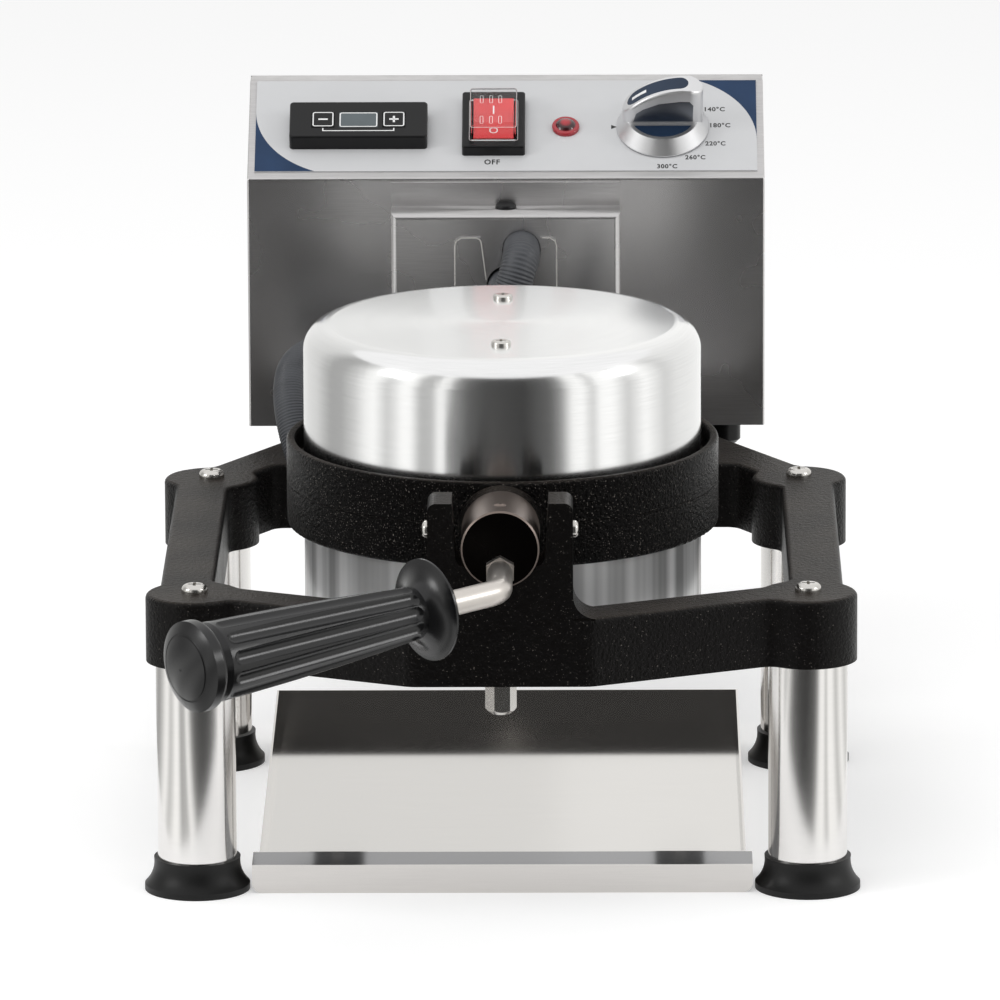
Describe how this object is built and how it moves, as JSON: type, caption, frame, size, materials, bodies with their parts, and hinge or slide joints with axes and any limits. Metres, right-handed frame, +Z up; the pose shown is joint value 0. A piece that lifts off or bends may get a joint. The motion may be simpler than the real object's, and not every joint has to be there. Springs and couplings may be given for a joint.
{
  "type": "rotating waffle maker",
  "caption": "Countertop waffle iron with two hinged round halves that turn over together in an open frame on legs, with a control housing behind and a drip tray below.",
  "frame": {"origin": "on the table, at the middle of the four legs", "axes": "+X to the right seen from the front, +Y to the back, +Z up; the halves turn about a line along Y"},
  "size_m": [0.3436, 0.66, 0.3236],
  "materials": {
    "enamel_casting": "satin black enamel",
    "ring_casting": "satin black enamel",
    "plate_casting": "seasoned",
    "brushed_steel": "brushed",
    "cover_steel": "spun satin",
    "screw_steel": "satin",
    "rod_steel": "polished",
    "bush_brass": "plain",
    "foot_rubber": "matt",
    "hose_black": "satin",
    "grip_black": "satin",
    "black_plastic": "satin",
    "fascia_grey": "printed",
    "display_grey": "gloss",
    "rocker_red": "gloss",
    "clear_cover": "clear",
    "lamp_red": "gloss",
    "knob_silver": "satin",
    "knob_navy": "satin",
    "terminal_white": "plain"
  },
  "bodies": {
    "base": {"base_frame": "enamel_casting", "rear_bearing_cap": "enamel_casting", "leg_front_left": "brushed_steel", "leg_front_right": "brushed_steel", "leg_rear_left": "brushed_steel", "leg_rear_right": "brushed_steel", "control_housing": "brushed_steel", "housing_back": "brushed_steel", "support_bracket": "brushed_steel", "notch_plate": "brushed_steel", "thermostat_body": "brushed_steel", "leg_screws": "screw_steel", "bearing_cap_screws": "screw_steel", "cradle_screws": "screw_steel", "housing_screws": "screw_steel", "detent_body": "screw_steel", "detent_spring": "screw_steel", "rear_bearing_bush": "bush_brass", "foot_front_left": "foot_rubber", "foot_front_right": "foot_rubber", "foot_rear_left": "foot_rubber", "foot_rear_right": "foot_rubber", "upper_feed_hose": "hose_black", "lower_feed_hose": "hose_black", "timer_case": "black_plastic", "switch_frame": "black_plastic", "bracket_plug": "black_plastic", "mains_gland": "black_plastic", "control_fascia": "fascia_grey", "timer_display": "display_grey", "switch_cover": "clear_cover", "pilot_lamp": "lamp_red", "terminal_block": "terminal_white"},
    "rotor": {"lower_ring": "ring_casting", "lower_plate": "plate_casting", "lower_heater": "brushed_steel", "lower_cover": "cover_steel", "lower_cover_screws": "screw_steel", "hinge_block": "enamel_casting", "hinge_pin": "screw_steel", "trunnion_collar": "brushed_steel", "handle_rod": "rod_steel", "handle_nut": "screw_steel", "handle_grip": "grip_black", "grip_end_cap": "grip_black", "lid_jumper_hose": "hose_black"},
    "lid": {"upper_ring": "ring_casting", "upper_plate": "plate_casting", "upper_heater": "brushed_steel", "upper_cover": "cover_steel", "upper_cover_screws": "screw_steel"},
    "minus_key": {"minus_button": "black_plastic"},
    "plus_key": {"plus_button": "black_plastic"},
    "rocker": {"switch_rocker": "rocker_red"},
    "dial": {"knob": "knob_silver", "knob_inlay": "knob_navy", "thermostat_shaft": "brushed_steel"},
    "index_ball": {"detent_ball": "screw_steel"},
    "tray": {"drip_tray": "brushed_steel"}
  },
  "joints": [
    {"name": "rotor_turn", "type": "hinge", "parent": "base", "child": "rotor", "pos_m": [0, 0, 0.18], "axis": [0, -1, 0], "range_deg": [-180, 0], "deforming": ["upper_feed_hose", "lower_feed_hose"]},
    {"name": "lid_hinge", "type": "hinge", "parent": "rotor", "child": "lid", "pos_m": [0, 0.09, 0.18], "axis": [-1, 0, 0], "range_deg": [0, 90], "deforming": ["lid_jumper_hose"]},
    {"name": "dial_turn", "type": "hinge", "parent": "base", "child": "dial", "pos_m": [0.0796, 0.26473, 0.2944], "axis": [0, 0.5, -0.866], "range_deg": [0, 270]},
    {"name": "rocker_tilt", "type": "hinge", "parent": "base", "child": "rocker", "pos_m": [-0.0063, 0.26348, 0.29495], "axis": [-1, 0, 0], "range_deg": [0, 16]},
    {"name": "minus_press", "type": "slide", "parent": "base", "child": "minus_key", "axis": [0, 0.5, -0.866], "range_m": [0, 0.001], "stiffness_N_per_m": 200},
    {"name": "plus_press", "type": "slide", "parent": "base", "child": "plus_key", "axis": [0, 0.5, -0.866], "range_m": [0, 0.001], "stiffness_N_per_m": 200},
    {"name": "index_press", "type": "slide", "parent": "base", "child": "index_ball", "axis": [0, 0, -1], "range_m": [0, 0.0015], "stiffness_N_per_m": 800, "deforming": ["detent_spring"]},
    {"name": "tray_slide", "type": "slide", "parent": "base", "child": "tray", "axis": [0, -1, 0], "range_m": [0, 0.3]}
  ]
}
